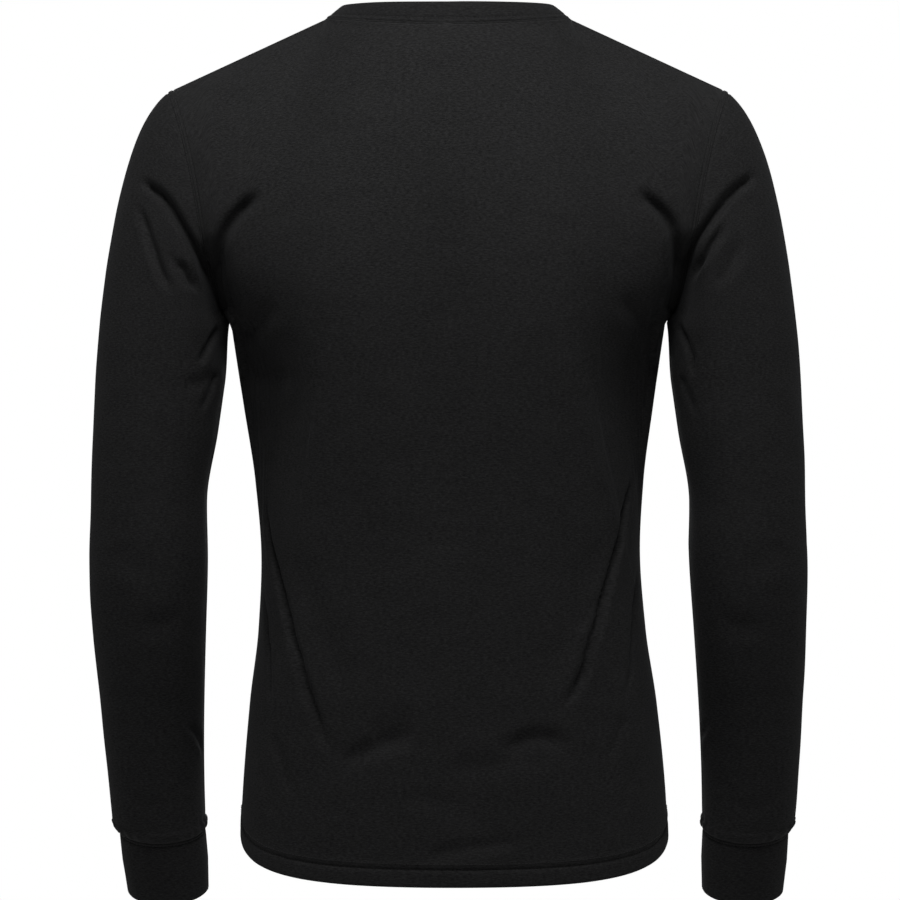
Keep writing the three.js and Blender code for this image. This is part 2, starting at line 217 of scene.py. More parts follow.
def yoke(panel, turn, lift):
    def column(at):
        z = yokeFoot(at)
        foot = section(panel, at, z)
        head = sweep(panel, at)
        lean = (foot - section(panel, at, z - top["leanStep"])) / top["leanStep"]
        stand = lean * (top["yokeFullness"] * (head[..., 2] - z))[..., None]
        point = bow(foot, stand, head, sweepRise(panel, at), lift)
        return point + softened(panel, at, 0.45 * (1 - lift) ** 0.6) * (lift ** 3)[..., None]
    pull = (turn ** 1.6)[..., None]
    return column(turn) + (armhole(panel, lift) - column(np.ones_like(turn))) * pull


def softened(panel, turn, blur):
    # from the sweep out to the neck and shoulder edge, blurred so that the neck end's corner dies away
    total, weight = 0, 0
    for place in np.linspace(-1, 1, 15):
        at = turn + place * blur
        mirrored = vec(np.where(at < 0, -1, 1), 1, 1)       # past the centre line
        at = np.abs(at)
        at = np.where(at > 1, 2 - at, at)
        share = math.exp(-4 * place * place)
        total = total + share * (topEdge(panel, at) - sweep(panel, at)) * mirrored
        weight += share
    return total / weight


# ---- folds: soft troughs along lines over a piece, with a lip beside them
#
# A line runs across and up, in millimetres. wide is half the trough's width, and lip is how high the cloth
# stands beside it, on one side of the line's own direction, or on the other where it is below 0. start and
# end are the shares of the line over which the fold grows and dies.

def crease(line, wide, deep, lip=0.4, start=0.25, end=0.25):
    return {"line": line, "wide": wide, "deep": deep, "lip": lip, "start": start, "end": end}


def tapered(fold, count):
    share = np.linspace(0, 1, count)
    return np.minimum(ease(share / fold["start"]), ease((1 - share) / fold["end"]))


def pressFolds(points, normals, folds, allowed):
    # how far each point is pressed in by the folds; a fold's line is laid on the allowed points
    press = np.zeros(points.shape[:2])
    flat = points.reshape(-1, 3)
    usable = allowed.reshape(-1)
    for fold in folds:
        path = []
        for x, z in smoothLine(fold["line"], 10):
            gap = np.hypot(flat[:, 0] - x, flat[:, 2] - z) + np.where(usable, 0, 1e6)
            path.append(flat[np.argmin(gap)])
        path = smoothPath(np.array(path))
        taper = tapered(fold, len(path))
        reach = 4.5 * fold["wide"]
        low, high = path.min(0) - reach, path.max(0) + reach
        near = np.where(((flat > low) & (flat < high)).all(1))[0]
        if not len(near):
            continue
        away = flat[near][:, None, :] - path[None]
        distance = np.linalg.norm(away, axis=2)
        closest = distance.argmin(1)
        rows = np.arange(len(near))
        run = unit(np.gradient(path, axis=0))[closest]
        beside = np.einsum("ij,ij->i", np.cross(run, normals.reshape(-1, 3)[near]), away[rows, closest])
        offset = distance[rows, closest] * np.sign(beside)
        wide, lip = fold["wide"], fold["lip"]
        trough = np.exp(-(offset / wide) ** 2)
        ridge = np.exp(-((np.abs(offset) - 2.1 * wide) / (1.1 * wide)) ** 2)
        sided = ridge * np.where(offset * lip > 0, abs(lip), 0.25 * abs(lip))
        press.reshape(-1)[near] += fold["deep"] * taper[closest] * (trough - sided)
    return press


def smoothLine(points, count):
    p = np.array(points, float)
    p = np.concatenate([[2 * p[0] - p[1]], p, [2 * p[-1] - p[-2]]])
    out = []
    for i in range(1, len(p) - 2):
        for t in np.arange(count) / count:
            out.append(0.5 * (2 * p[i] + (p[i + 1] - p[i - 1]) * t
                              + (2 * p[i - 1] - 5 * p[i] + 4 * p[i + 1] - p[i + 2]) * t * t
                              + (3 * p[i] - p[i - 1] - 3 * p[i + 1] + p[i + 2]) * t ** 3))
    out.append(p[-2])
    return np.array(out)


def smoothPath(path):
    for _ in range(3):
        path[1:-1] = (path[:-2] + 2 * path[1:-1] + path[2:]) / 4
    return path


def flatFold(x, z, fold):
    # the same trough for a fold that is pressed straight in, measured across and up only
    path = smoothLine(fold["line"], 8)
    taper = tapered(fold, len(path))
    distance = np.full(x.shape, 1e6)
    weight = np.zeros(x.shape)
    for (px, pz), t in zip(path, taper):
        gap = np.hypot(x - px, z - pz)
        weight = np.where(gap < distance, t, weight)
        distance = np.minimum(distance, gap)
    return fold["deep"] * weight * np.exp(-(distance / fold["wide"]) ** 2)


# Where sleeve and body meet behind and before the arm, the cloth is drawn in along these lines.
tucks = {
    "behind": [
        crease([(147, -149), (156, -155), (165, -163), (175, -175), (181, -187), (184, -202),
                (184, -222), (180, -244)], 4.8, 11, start=0.26, end=0.05),
        crease([(251, -135), (239, -143), (226, -154), (215, -171), (205, -189), (197, -205),
                (189, -222), (182, -242)], 3.4, 10, start=0.2, end=0.05),
        crease([(186, -180), (189, -202), (188, -222), (184, -240), (180, -256)],
               11, 20, start=0.35, end=0.3),
        crease([(-148, -148), (-157, -153), (-169, -163), (-178, -175), (-182, -188), (-184, -204),
                (-184, -224), (-180, -244)], 4.8, 11, start=0.26, end=0.05),
        crease([(-252, -131), (-240, -138), (-226, -150), (-213, -166), (-201, -184), (-193, -200),
                (-188, -218), (-182, -242)], 3.4, 10, start=0.2, end=0.05),
        crease([(-186, -178), (-189, -200), (-188, -220), (-184, -240), (-180, -256)],
               11, 20, start=0.35, end=0.3),
    ],
    "before": [
        crease([(146, -150), (162, -166), (173, -184), (179, -204), (180, -228)],
               3.8, 8, start=0.35, end=0.05),
        crease([(236, -146), (220, -166), (206, -190), (194, -214), (184, -238)],
               3.6, 8, start=0.3, end=0.05),
        crease([(186, -210), (185, -226), (180, -248)], 8, 11, start=0.5, end=0.1),
        crease([(-148, -148), (-163, -165), (-173, -183), (-179, -204), (-180, -228)],
               3.8, 8, start=0.35, end=0.05),
        crease([(-238, -142), (-221, -163), (-206, -188), (-194, -213), (-184, -238)],
               3.6, 8, start=0.3, end=0.05),
        crease([(-186, -208), (-185, -226), (-180, -248)], 8, 11, start=0.5, end=0.1),
    ],
}


deepestTuck = 23     # where two tucks add up


def drawIn(points):
    # y is a view of the points, so they are moved in place
    x, y, z = points[..., 0], points[..., 1], points[..., 2]
    near = (np.abs(x) > 110) & (np.abs(x) < 275) & (z < -90) & (z > -290)
    for side, face in (("behind", 1), ("before", -1)):
        here = near & (y * face > 0)
        press = sum(flatFold(x[here], z[here], fold) for fold in tucks[side])
        depth = np.abs(y[here])
        y[here] -= face * np.minimum(press, deepestTuck) * ease(depth / 26)
    return points


# ---- seams, folded edges and the shell itself
#
# groove is how deep the row of stitches sinks, at wide from the sewn edge, and seam how deep the edge does.
# puff is how high the cloth swells over the width puffed. Only the side seams dip at the edge: elsewhere the
# edges meet, so that nothing shows through between them.

flatlock = {"wide": 2.6, "groove": 0.95, "sharp": 0.72, "seam": 0.0, "puff": 0.30, "puffed": 2.6}
plainSeam = {"wide": 3.2, "groove": 0.00, "sharp": 0.80, "seam": 0.85, "puff": 0.30, "puffed": 3.2}
bandSeam = {"wide": 1.2, "groove": 0.55, "sharp": 0.60, "seam": 0.0, "puff": 0.40, "puffed": 4.4}


def seamRelief(away, kind):
    # how far the cloth dips beside a sewn edge, away is the distance from it
    dip = kind["groove"] * np.exp(-((away - kind["wide"]) / kind["sharp"]) ** 2)
    dip = dip + kind["seam"] * np.exp(-(away / kind["sharp"]) ** 2)
    swell = kind["puff"] * np.exp(-((away - 0.55 * kind["puffed"]) / (0.45 * kind["puffed"])) ** 2)
    return dip - swell


def foldedEdge(away, thick):
    # how far both faces round in at a folded edge
    radius = thick / 2
    inside = np.clip(1 - away / radius, 0, 1)
    return 0.92 * radius * (1 - np.sqrt(1 - inside ** 2))


def makeMesh(name, vertices, quads, uv=None, material=None, body="root"):
    mesh = bpy.data.meshes.new(name)
    vertices, quads = np.asarray(vertices, np.float32) * mm, np.asarray(quads, np.int32)
    size = quads.shape[1]
    mesh.vertices.add(len(vertices))
    mesh.vertices.foreach_set("co", vertices.ravel())
    mesh.loops.add(quads.size)
    mesh.loops.foreach_set("vertex_index", quads.ravel())
    mesh.polygons.add(len(quads))
    mesh.polygons.foreach_set("loop_start", np.arange(len(quads), dtype=np.int32) * size)
    mesh.polygons.foreach_set("use_smooth", np.ones(len(quads), bool))
    mesh.update(calc_edges=True)
    if uv is not None:
        layer = mesh.uv_layers.new(name="clothUv")
        layer.data.foreach_set("uv", np.asarray(uv, np.float32)[quads.ravel()].ravel())
    piece = bpy.data.objects.new(name, mesh)
    bpy.context.scene.collection.objects.link(piece)
    if material:
        mesh.materials.append(material)
    mesh.validate()
    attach(piece, body)
    return piece


def makeShell(name, outer, normals, thick, outward, dip, clothUv, material):
    # an outer face, an inner face and the rims between them
    rows, columns = outer.shape[:2]
    inner = outer - normals * (thick - dip)[..., None]
    outer = outer - normals * dip[..., None]
    vertices = np.concatenate([outer.reshape(-1, 3), inner.reshape(-1, 3)])
    uv = np.concatenate([clothUv.reshape(-1, 2)] * 2)
    index = np.arange(rows * columns).reshape(rows, columns)
    deep = rows * columns
    a, b, c, d = index[:-1, :-1], index[:-1, 1:], index[1:, 1:], index[1:, :-1]
    outside = np.stack([a, b, c, d], -1).reshape(-1, 4)
    faces = [outside, outside[:, ::-1] + deep]
    for line in (index[0, ::-1], index[-1], index[:, 0], index[::-1, -1]):
        faces.append(np.stack([line[:-1], line[1:], line[1:] + deep, line[:-1] + deep], -1))
    quads = np.concatenate(faces)
    if outward < 0:
        quads = quads[:, ::-1]
    return makeMesh(name, vertices, quads, uv, material)


def clothCoordinates(points, level=0):
    # distances over the cloth in metres: across from the middle column, and up from a row that lies level
    across = lengths(points, 1)
    across = across - across[:, [points.shape[1] // 2]]
    up = lengths(points, 0)
    up = (up - up[[level]]) * np.sign(points[-1, :, 2] - points[0, :, 2]) + points[[level], :, 2]
    return np.stack([across, up], -1) * mm


# ---- looks

class Value:
    # a socket that takes part in plain sums
    def __init__(self, shader, socket):
        self.shader, self.socket = shader, socket

    def maths(self, kind, *others):
        return self.shader.node("ShaderNodeMath", {"operation": kind}, [self, *others])

    def output(self, place):
        return Value(self.shader, self.socket.node.outputs[place])      # another output of the same node

    def __add__(self, other):
        return self.maths("ADD", other)

    def __sub__(self, other):
        return self.maths("SUBTRACT", other)

    def __rsub__(self, other):
        return self.shader.node("ShaderNodeMath", {"operation": "SUBTRACT"}, [other, self])

    def __mul__(self, other):
        return self.maths("MULTIPLY", other)

    def __truediv__(self, other):
        return self.maths("DIVIDE", other)

    def __pow__(self, other):
        return self.maths("POWER", other)

    __radd__ = __add__
    __rmul__ = __mul__


class Shader:
    def __init__(self, name):
        self.material = bpy.data.materials.new(name)
        self.material.use_nodes = True
        self.tree = self.material.node_tree
        self.surface = self.tree.nodes["Principled BSDF"]

    def node(self, kind, settings=None, inputs=None, output=0):
        made = self.tree.nodes.new(kind)
        for key, value in (settings or {}).items():
            setattr(made, key, value)
        pairs = enumerate(inputs) if isinstance(inputs, list) else (inputs or {}).items()
        for key, value in pairs:
            if isinstance(value, Value):
                self.tree.links.new(value.socket, made.inputs[key])
            else:
                made.inputs[key].default_value = value
        return Value(self, made.outputs[output])

    def set(self, values):
        for key, value in values.items():
            socket = self.surface.inputs[key]
            if isinstance(value, Value):
                self.tree.links.new(value.socket, socket)
            else:
                socket.default_value = value


def jerseyLook(name, look):
    s = Shader(name)
    uv = s.node("ShaderNodeUVMap", {"uv_map": "clothUv"})
    split = s.node("ShaderNodeSeparateXYZ", None, [uv])
    u, v = split, split.output(1)

    # knit: V-shaped loops in upright rows
    wale = u * (1 / look["wale"])
    course = v * (1 / look["course"])
    column = wale.maths("FRACT")
    slant = (column - 0.5).maths("ABSOLUTE") * 0.9
    loop = ((course + slant).maths("FRACT") - 0.5).maths("ABSOLUTE") * 2
    gutter = (column - 0.5).maths("ABSOLUTE") * 2
    knit = (1 - loop * loop) * 0.6 + (1 - gutter ** 3) * 0.4

    # heather: short fibres lying along the rows, and broader clouds of tone
    def fibres(across, up, detail, seed):
        place = s.node("ShaderNodeCombineXYZ", None, [u * across, v * up, seed])
        return s.node("ShaderNodeTexNoise", {"noise_dimensions": "3D"},
                      {"Vector": place, "Scale": 1.0, "Detail": detail, "Roughness": 0.6})
    streak = fibres(290, 1000, 3.0, 3.1)
    fleck = fibres(640, 1300, 1.0, 11.7)
    cloud = fibres(26, 64, 4.0, 5.3)
    heather = s.node("ShaderNodeMapRange", {"clamp": True},
                     {"Value": streak, "From Min": 0.34, "From Max": 0.66, "To Min": 0.0, "To Max": 1.0})
    pale = s.node("ShaderNodeMapRange", {"clamp": True},
                  {"Value": fleck, "From Min": 0.50, "From Max": 0.74, "To Min": 0.0, "To Max": 1.0})
    tone = heather * 0.60 + cloud * 0.34 + pale * 0.42 - 0.08
    colour = s.node("ShaderNodeMix", {"data_type": "RGBA", "clamp_factor": True},
                    {"Factor": tone, 6: look["dark"], 7: look["light"]}, 2)
    shade = s.node("ShaderNodeCombineColor", None, [knit * 0.26 + 0.84] * 3)
    shaded = s.node("ShaderNodeMix", {"data_type": "RGBA", "blend_type": "MULTIPLY"},
                    {"Factor": 1.0, 6: colour, 7: shade}, 2)
    rough = 0.86 - heather * 0.10 + cloud * 0.06
    height = knit * 0.55 + streak * 0.45
    bump = s.node("ShaderNodeBump", None, {"Strength": look["bump"], "Distance": 0.00028, "Height": height})
    s.set({
        "Base Color": shaded, "Roughness": rough, "Normal": bump, "Specular IOR Level": 0.12,
        "Sheen Weight": look["sheen"], "Sheen Roughness": 0.42, "Sheen Tint": (0.9, 0.92, 0.95, 1),
    })
    return s.material


def threadLook(name, dark, light):
    s = Shader(name)
    place = s.node("ShaderNodeTexCoord", None, None, 3)
    twist = s.node("ShaderNodeTexNoise", None, {"Vector": place, "Scale": 2600.0, "Detail": 2.0})
    colour = s.node("ShaderNodeMix", {"data_type": "RGBA"}, {"Factor": twist, 6: dark, 7: light}, 2)
    bump = s.node("ShaderNodeBump", None, {"Strength": 0.5, "Distance": 0.0001, "Height": twist})
    s.set({
        "Base Color": colour, "Roughness": 0.62 - twist * 0.15, "Normal": bump, "Specular IOR Level": 0.15,
        "Sheen Weight": 0.03,
    })
    return s.material


jersey = jerseyLook("charcoalJersey", {
    "wale": 0.00092, "course": 0.00074, "bump": 0.5, "sheen": 0.035,
    "dark": (0.0080, 0.0080, 0.0082, 1), "light": (0.030, 0.030, 0.0305, 1),
})
band = jerseyLook("charcoalBand", {
    "wale": 0.00092, "course": 0.00074, "bump": 0.5, "sheen": 0.035,
    "dark": (0.0070, 0.0070, 0.0072, 1), "light": (0.026, 0.026, 0.0265, 1),
})
thread = threadLook("charcoalThread", (0.014, 0.014, 0.014, 1), (0.042, 0.042, 0.042, 1))
print("looks made")


# ---- stitches

def makeStitches(name, runs, stitch):
    # each run is a line on the cloth with the directions out of it; every stitch is a short thread on it
    facets = 6
    ring = np.arange(facets) / facets * 2 * pi
    shares = np.array([0, 0.16, 0.5, 0.84, 1])
    swell = np.array([0.35, 0.85, 1, 0.85, 0.35])
    rise = np.array([-0.9, 0.25, 0.55, 0.25, -0.9])
    vertices, quads = [], []
    for points, normals in runs:
        travel = np.concatenate([[0], np.cumsum(np.linalg.norm(np.diff(points, axis=0), axis=1))])
        count = int(travel[-1] / stitch["pitch"])
        if count < 1:
            continue
        pitch = travel[-1] / count
        at = (np.arange(count)[:, None] + 0.5) * pitch + (shares - 0.5)[None] * stitch["length"]
        place = np.stack([np.interp(at, travel, points[:, k]) for k in range(3)], -1)
        out = unit(np.stack([np.interp(at, travel, normals[:, k]) for k in range(3)], -1))
        run = unit(place[:, -1:] - place[:, :1]) + 0 * place
        side = unit(np.cross(run, out))
        place = place + out * (rise * stitch["thick"])[None, :, None]
        radius = (swell * stitch["thick"])[None, :, None, None]
        around = out[:, :, None] * np.cos(ring)[:, None] + side[:, :, None] * np.sin(ring)[:, None]
        tube = place[:, :, None] + around * radius
        start = sum(len(v) for v in vertices)
        vertices.append(tube.reshape(-1, 3))
        base = np.arange(count)[:, None, None] * (len(shares) * facets) + start
        j = np.arange(len(shares) - 1)[None, :, None] * facets
        k = np.arange(facets)[None, None]
        n = (k + 1) % facets
        sides = [base + j + k, base + j + n, base + j + facets + n, base + j + facets + k]
        quads.append(np.stack(sides, -1).reshape(-1, 4))
        for end, order in ((0, (0, 3, 2, 1)), ((len(shares) - 1) * facets, (0, 1, 2, 3))):
            cap = base[:, 0, 0][:, None] + end
            for corner in ([0, 1, 2, 3], [0, 3, 4, 5]):
                quads.append(cap + np.array([corner[o] for o in order])[None])
    piece = makeMesh(name, np.concatenate(vertices), np.concatenate(quads), None, thread)
    return piece


def lineOn(points, normals, away, want, axis=0, fromStart=True):
    # the line over a piece that is want from an edge, where away is each point's distance from the edge
    order = slice(None) if fromStart else slice(None, None, -1)
    p, n, d = (np.moveaxis(a, axis, 0)[order] for a in (points, normals, away))
    hit = np.clip((d < want).sum(0), 1, len(d) - 1)
    k = np.arange(d.shape[1])
    d0, d1 = d[hit - 1, k], d[hit, k]
    t = ((want - d0) / np.maximum(d1 - d0, 1e-6))[:, None]
    return mix(p[hit - 1, k], p[hit, k], t), unit(mix(n[hit - 1, k], n[hit, k], t))


# ---- body panels

hemSewing = {"rows": (14.1, 18.4), "turned": 19}     # above the hem's edge

backFolds = [
    # under the shoulder blades, from the armholes
    crease([(176, -262), (158, -256), (138, -238)], 7, 2.6, 0.3),
    crease([(-176, -258), (-158, -250), (-136, -232)], 7, 2.4, -0.3),
    crease([(172, -288), (152, -300), (132, -292)], 9, 1.8, 0.3),
    # the hollows below them, deepest above the waist
    crease([(182, -304), (153, -311), (124, -318), (95, -325)], 78, 12, 0, start=0.45, end=0.42),
    crease([(-182, -290), (-156, -303), (-130, -316), (-104, -329)], 78, 12, 0, start=0.45, end=0.42),
    # beside the spine
    crease([(4, -130), (2, -240), (3, -360), (0, -470)], 20, 2.4, 0.1),
    # from the waist down to the small of the back
    crease([(152, -392), (145, -430), (136, -462), (125, -502), (113, -542), (101, -575), (86, -606)],
           3.7, 6.4, 0.15, start=0.2, end=0.24),
    crease([(-155, -372), (-145, -404), (-137, -430), (-122, -481), (-109, -523), (-98, -548),
            (-84, -566)], 3.6, 6.8, -0.15, start=0.2, end=0.3),
    crease([(124, -425), (110, -472), (94, -515), (74, -562)], 12, 2.4, 0),
    crease([(-122, -420), (-108, -466), (-92, -506), (-70, -552)], 12, 2.4, 0),
    crease([(-118, -470), (-112, -484), (-103, -500)], 5, 1.6, 0),
    crease([(151, -466), (147, -500), (144, -530), (142, -562)], 3.4, 2.4, -0.3),
    crease([(-154, -446), (-149, -490), (-146, -530), (-142, -556)], 3.4, 2.6, 0.3),
    crease([(88, -604), (70, -594), (48, -585), (24, -577)], 7.5, 4.0, 0),
    crease([(64, -582), (44, -574), (22, -572)], 12, 2.6, 0),
    crease([(-42, -590), (-60, -583), (-76, -581), (-100, -592)], 7, 4.8, 0),
    crease([(-40, -600), (-62, -596), (-84, -600)], 10, 2.0, 0),
    crease([(0, -600), (-26, -604), (-46, -598)], 8, 1.6, -0.3),
    crease([(142, -578), (137, -592), (131, -610), (124, -634)], 4.5, 2.2, 0.2),
    crease([(152, -606), (146, -624), (140, -650)], 5, 1.6, 0.2),
    crease([(-143, -564), (-136, -580), (-128, -602)], 4.5, 2.0, -0.2),
    crease([(-152, -600), (-145, -622), (-138, -648)], 5, 1.4, -0.2),
    crease([(28, -673), (-18, -667), (-60, -661)], 5, 2.0, 0.4),
    crease([(40, -627), (12, -630), (-14, -631)], 7, 1.2, 0.3),
]

frontFolds = [
    crease([(172, -262), (150, -250), (122, -222)], 9, 2.6, -0.3),
    crease([(-172, -262), (-150, -248), (-120, -218)], 9, 2.6, 0.3),
    crease([(70, -176), (84, -214), (92, -262)], 20, 2.6, 0.2),
    crease([(-70, -172), (-82, -212), (-90, -258)], 20, 2.4, 0.2),
    crease([(152, -398), (136, -446), (112, -486), (82, -512)], 6, 4.6, 0.5, end=0.4),
    crease([(-153, -388), (-138, -440), (-114, -478), (-86, -506)], 6, 4.6, -0.5, end=0.4),
    crease([(150, -500), (140, -545), (122, -580)], 6, 2.2, 0.4),
    crease([(-150, -492), (-141, -536), (-124, -572)], 6, 2.2, -0.4),
    crease([(60, -556), (20, -566), (-26, -560)], 10, 1.8, 0.3),
    crease([(30, -640), (-10, -646), (-52, -638)], 8, 1.4, 0.3),
]


def crowded(turns):
    # fewer lines along the middle of the back, more towards the sides where the sharp folds are
    return turns * (1.55 - 0.55 * turns)


def relax(points, foot, out):
    # eases the bend where the yoke grows out of the body, more in the middle than beside the side seams
    rise = lengths(points, 0)
    away = np.abs(rise - rise[foot])
    hold = 0.5 * ease((75 - away) / 55) * ease((0.985 - out) / 0.12)
    gap = np.diff(rise, axis=0)[..., None]
    for _ in range(160):
        between = (points[:-2] * gap[1:] + points[2:] * gap[:-1]) / (gap[1:] + gap[:-1])
        points[1:-1] += (between - points[1:-1]) * hold[1:-1, :, None]
    return points


def makePanel(name, panel, folds, seed):
    turns = crowded(spread(96, 240, start=False))
    turns = np.concatenate([-turns[:0:-1], turns])
    hemLines = np.array([0, 0.35, 0.8, 1.6, 3, 5, 7.5, 10, 12, 13.2, 14.1, 15, 16.4, 17.6, 18.4, 19.2,
                         20.6, 23.0, 26])
    skirt = np.linspace(0, 1, 132)[1:]
    lifts = spread(94, 250, start=False)[1:]
    out = np.abs(turns)[None]
    hem = panel["hem"] + panel["hemRise"] * out ** top["hemCorner"]
    low = section(panel, out, hem + hemLines[:, None])
    foot = yokeFoot(out)
    middle = section(panel, out, mix(hem + hemLines[-1], foot, skirt[:, None]))
    high = yoke(panel, out + 0 * lifts[:, None], lifts[:, None] + 0 * out)
    yokeRow = len(low) + len(middle) - 1
    points = np.concatenate([low, middle, high])
    points[..., 0] *= np.where(turns < 0, -1, 1)[None]
    points = drawIn(relax(points, yokeRow, out))
    points[..., 0] += top["hang"] * ease((top["underarm"][2] - 15 - points[..., 2]) / 400)
    outward = -panel["face"]
    normals = outNormals(points, outward)

    # folds and a slight waviness, which fade towards the sewn edges
    fromSide = np.minimum(lengths(points, 1), lengths(points[:, ::-1], 1)[:, ::-1])
    fromHem = lengths(points, 0)
    fromTop = lengths(points[::-1], 0)[::-1]
    calm = ease(fromSide / 16) * ease(fromTop / 20)
    press = pressFolds(points, normals, folds, np.ones(points.shape[:2], bool))
    cloth = clothCoordinates(points)
    waves = Waves(seed)
    drift = 0.75 * waves.at(cloth[..., 0] / 0.055 + 9, cloth[..., 1] / 0.085 + 5)
    drift += 0.28 * waves.at(cloth[..., 0] / 0.021 + 3, cloth[..., 1] / 0.033 + 7)
    points = points - normals * ((press + drift) * calm)[..., None]
    normals = outNormals(points, outward)

    # seams at the sides, armholes, shoulders and neck, and the turned hem
    aboveUnderarm = fromHem - fromHem[[yokeRow]]
    dip = mix(seamRelief(fromSide, plainSeam), seamRelief(fromSide, flatlock), ease(aboveUnderarm / 6 + 1))
    onShoulder = np.abs(turns)[None] > 0.5
    dip = dip + np.where(onShoulder, seamRelief(fromTop, flatlock), seamRelief(fromTop, bandSeam))
    uneven = 2.1 * waves.at(cloth[..., 0] / 0.013, cloth[..., 1] * 0 + 2)
    pucker = 0.14 * np.sin(cloth[..., 0] / 0.0052 + uneven)
    inner, outer = hemSewing["rows"]
    groove = 1.15 * np.exp(-((fromHem - inner) / 0.95) ** 2) - 0.5 * np.exp(-((fromHem - outer) / 1.1) ** 2)
    puffed = 0.55 * ease((inner - fromHem) / 3) * ease(fromHem / 2)
    puffed = puffed + 0.25 * np.exp(-((fromHem - 16.3) / 1.2) ** 2)
    dip = dip + groove - puffed - pucker * np.exp(-((fromHem - 13) / 9) ** 2)
    thick = np.where(fromHem < hemSewing["turned"], top["doubled"], top["jersey"]) + 0 * fromTop
    points = points - normals * dip[..., None]
    normals = outNormals(points, outward)
    edge = foldedEdge(fromHem, top["doubled"])
    piece = makeShell(name, points, normals, thick, outward, edge, cloth, jersey)
    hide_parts(name.replace("Panel", ""))
    return {"piece": piece, "points": points, "normals": normals, "fromSide": fromSide, "fromHem": fromHem,
            "fromTop": fromTop, "turns": turns, "yokeRow": yokeRow}


back = makePanel("backPanel", backPanel, backFolds, 4)
front = makePanel("frontPanel", frontPanel, frontFolds, 8)
print("body panels made")


# ---- sleeves and cuffs, worked out for the left arm and mirrored for the right

sleeve = {
    "heights": [-300, -340, -395, -440, -500, -560, -620, -667],
    "across": [235.5, 239.3, 244.5, 245, 245, 244.6, 243.2, 241.4],
    "forward": [0, -2, -4, -3, 7, 25, 43, 57],
    "half": [52.6, 50.8, 47.3, 48.4, 46.2, 43, 40.1, 38.4],
    "deep": [56, 53.5, 50, 50, 47.5, 44, 41, 39],
    "capTop": np.array([130, 0, -95.0]),        # how the cloth leaves the armhole at the shoulder,
    "capSide": np.array([70, 16, -110.0]),      # behind and before the arm,
    "capUnder": np.array([10, 0, -44.0]),       # and under it
    "swingBelow": -430, "swing": 0.041,
}
cuff = {"length": 56, "top": 35.7, "middle": 35.6, "end": 33.8, "inset": 2.4, "lean": 3.5}

leftFolds = [
    crease([(252, -156), (246, -168), (240, -184), (234, -201), (229, -214), (219, -230)], 3.6, 4.8, 0.2),
    crease([(216, -202), (209, -213), (200, -227)], 3.6, 5.5, -0.2),
    crease([(222, -196), (217, -210), (207, -228)], 3.2, 1.8, -0.2),
    crease([(184, -252), (190, -264), (196, -276), (201, -288)], 3.2, 3.8, -0.2),
    crease([(186, -290), (192, -306), (200, -326)], 3.2, 2.6, -0.2),
    crease([(186, -292), (198, -300), (214, -304)], 6, 1.6, 0.3),
    crease([(214, -577), (206, -590), (203, -606)], 3.5, 2.2, 0.5),
    crease([(268, -430), (254, -446), (232, -452)], 10, 1.6, 0.2),
    crease([(214, -484), (232, -496), (252, -492)], 9, 1.6, 0.2),
    crease([(226, -640), (244, -646), (262, -640)], 6, 1.3, 0.3),
]
rightFolds = [
    crease([(-223, -172), (-213, -187), (-204, -201), (-195, -217)], 3.5, 5.2, -0.2),
    crease([(-238, -184), (-226, -206), (-214, -224)], 5, 1.8, -0.3),
    crease([(-185, -250), (-191, -264), (-196, -280), (-197, -298)], 3.2, 3.8, 0.2),
    crease([(-187, -292), (-194, -310), (-200, -328)], 3.4, 2.0, 0.2),
    crease([(-270, -428), (-254, -444), (-232, -452)], 10, 1.6, 0.2),
    crease([(-216, -486), (-236, -498), (-256, -494)], 9, 1.6, 0.2),
    crease([(-214, -576), (-208, -596), (-206, -612)], 3.5, 1.6, -0.5),
    crease([(-232, -642), (-250, -648), (-268, -641)], 6, 1.3, 0.3),
]
innerElbow = [
    crease([(214, -436), (236, -446), (262, -440)], 6, 3.4, 0.5),
    crease([(216, -462), (238, -470), (262, -466)], 7, 2.8, 0.5),
    crease([(222, -410), (240, -418), (258, -412)], 7, 1.8, 0.4),
    crease([(248, -186), (234, -208), (216, -232)], 6, 2.6, -0.4),
]


def swungOut(side, z):
    # the right forearm stands a little further out
    return (sleeve["swing"] if side < 0 else 0) * np.maximum(0, sleeve["swingBelow"] - z)


def arm(angle, z, side):
    forward = lambda height: along(sleeve["heights"], sleeve["forward"], height)
    slope = (forward(z - 10) - forward(z + 10)) / 20
    deep = along(sleeve["heights"], sleeve["deep"], z) * np.sin(angle) / np.hypot(1, slope)
    across = along(sleeve["heights"], sleeve["across"], z) + swungOut(side, z)
    half = along(sleeve["heights"], sleeve["half"], z)
    return vec(across + half * np.cos(angle), deep - forward(z), z - deep * slope)


def cuffPoint(angle, share, side):
    heights, forward = sleeve["heights"], sleeve["forward"]
    z = heights[-1] - cuff["inset"]
    slope = (forward[-1] - forward[-2]) / (heights[-2] - heights[-1])
    sine, cosine = slope / math.hypot(1, slope), 1 / math.hypot(1, slope)
    radius = np.where(share < 0.5, mix(cuff["top"], cuff["middle"], 2 * share),
                      mix(cuff["middle"], cuff["end"], 2 * share - 1))
    down = cuff["length"] * share
    deep = radius * np.sin(angle)
    out = sleeve["across"][-1] - cuff["inset"] - cuff["lean"] * share + swungOut(side, z - down)
    return vec(out + radius * np.cos(angle), deep * cosine - forward[-1] - down * sine,
               z - deep * sine - down * cosine)


